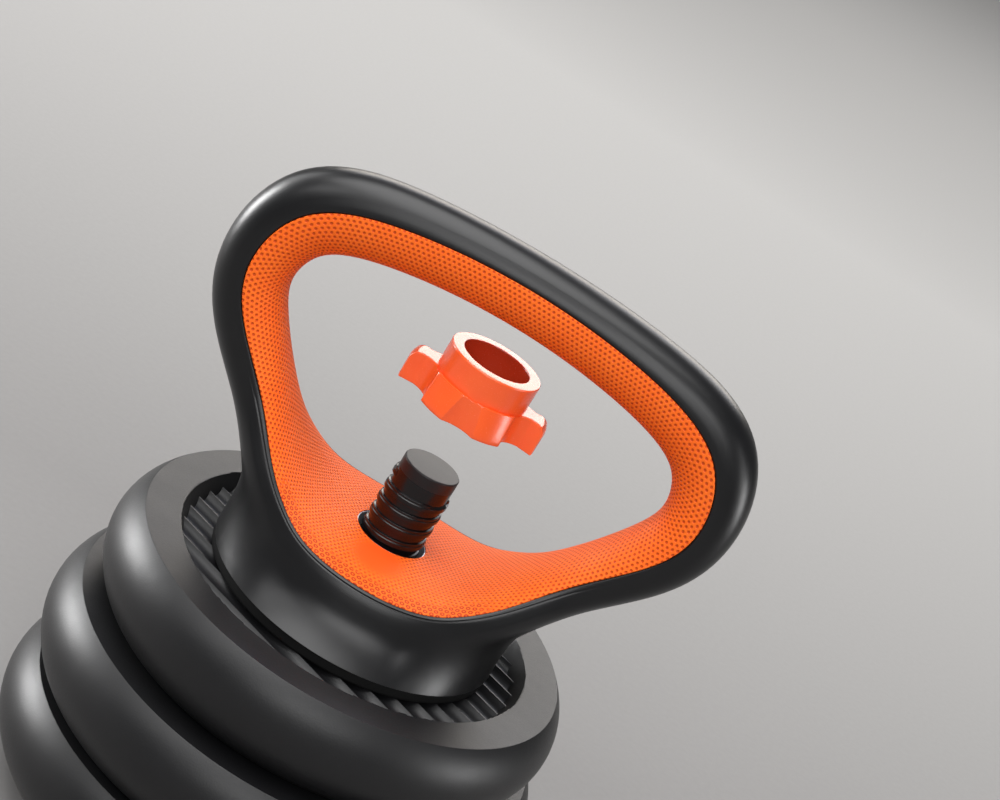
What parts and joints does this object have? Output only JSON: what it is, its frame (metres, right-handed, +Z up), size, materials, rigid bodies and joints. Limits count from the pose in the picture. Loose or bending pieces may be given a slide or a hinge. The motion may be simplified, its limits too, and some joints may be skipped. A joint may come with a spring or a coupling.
{
  "type": "kettlebell",
  "caption": "Loadable kettlebell: black loop handle with a soft orange liner on stacked round plates, with a threaded centre rod and an orange star nut lifted off it.",
  "frame": {"origin": "centre of the foot's resting face", "axes": "+Z up along the rod, +X across the handle, -Y towards the front"},
  "size_m": [0.2408, 0.2284, 0.3123],
  "materials": {
    "foot_steel": "satin black paint",
    "rubber": "dull black rubber",
    "zinc": "bright zinc plate",
    "steel": "plain turned steel",
    "rod_plastic": "satin black moulding",
    "plate_plastic": "satin black moulding, finely grained",
    "plug_plastic": "dull black moulding",
    "fill": "grey cast cement and iron sand",
    "handle_plastic": "satin black moulding",
    "liner": "soft orange, dimpled",
    "nut_plastic": "satin orange moulding",
    "ring_rubber": "dull black rubber"
  },
  "bodies": {
    "foot": {"foot_disc": "foot_steel", "foot_pad": "rubber", "foot_screw": "zinc", "foot_washer": "zinc", "rod_core": "steel", "rod_sleeve": "rod_plastic", "rod_cap": "rod_plastic"},
    "plate_3": {"plate_shell_3": "plate_plastic", "plate_fill_3": "fill", "plate_plug_3": "plug_plastic"},
    "plate_2": {"plate_shell_2": "plate_plastic", "plate_fill_2": "fill", "plate_plug_2": "plug_plastic"},
    "plate_1": {"plate_shell_1": "plate_plastic", "plate_fill_1": "fill", "plate_plug_1": "plug_plastic"},
    "bush": {"base_bush": "zinc"},
    "handle": {"handle_shell": "handle_plastic", "grip_liner": "liner", "base_pad": "rubber"},
    "nut_seat": {"nut_ring": "ring_rubber"},
    "nut": {"star_nut": "nut_plastic"}
  },
  "joints": [
    {"name": "plate_3_lift", "type": "slide", "parent": "foot", "child": "plate_3", "axis": [0, 0, 1], "range_m": [0, 0.193]},
    {"name": "plate_2_lift", "type": "slide", "parent": "plate_3", "child": "plate_2", "axis": [0, 0, 1], "range_m": [0, 0.151]},
    {"name": "plate_1_lift", "type": "slide", "parent": "plate_2", "child": "plate_1", "axis": [0, 0, 1], "range_m": [0, 0.109]},
    {"name": "handle_lift", "type": "slide", "parent": "plate_1", "child": "bush", "axis": [0, 0, 1], "range_m": [0, 0.072]},
    {"name": "handle_turn", "type": "hinge", "parent": "bush", "child": "handle", "pos_m": [0, 0, 0.157], "axis": [0, 0, 1], "continuous": true},
    {"name": "nut_travel", "type": "slide", "parent": "bush", "child": "nut_seat", "axis": [0, 0, 1], "range_m": [-0.0615, 0]},
    {"name": "nut_turn", "type": "hinge", "parent": "nut_seat", "child": "nut", "pos_m": [0, 0, 0.251], "axis": [0, 0, 1], "range_deg": [-3350, 0]}
  ],
  "couplings": [
    {"joint": "nut_travel", "follows": "nut_turn", "m_per_rad": 0.0010504}
  ]
}
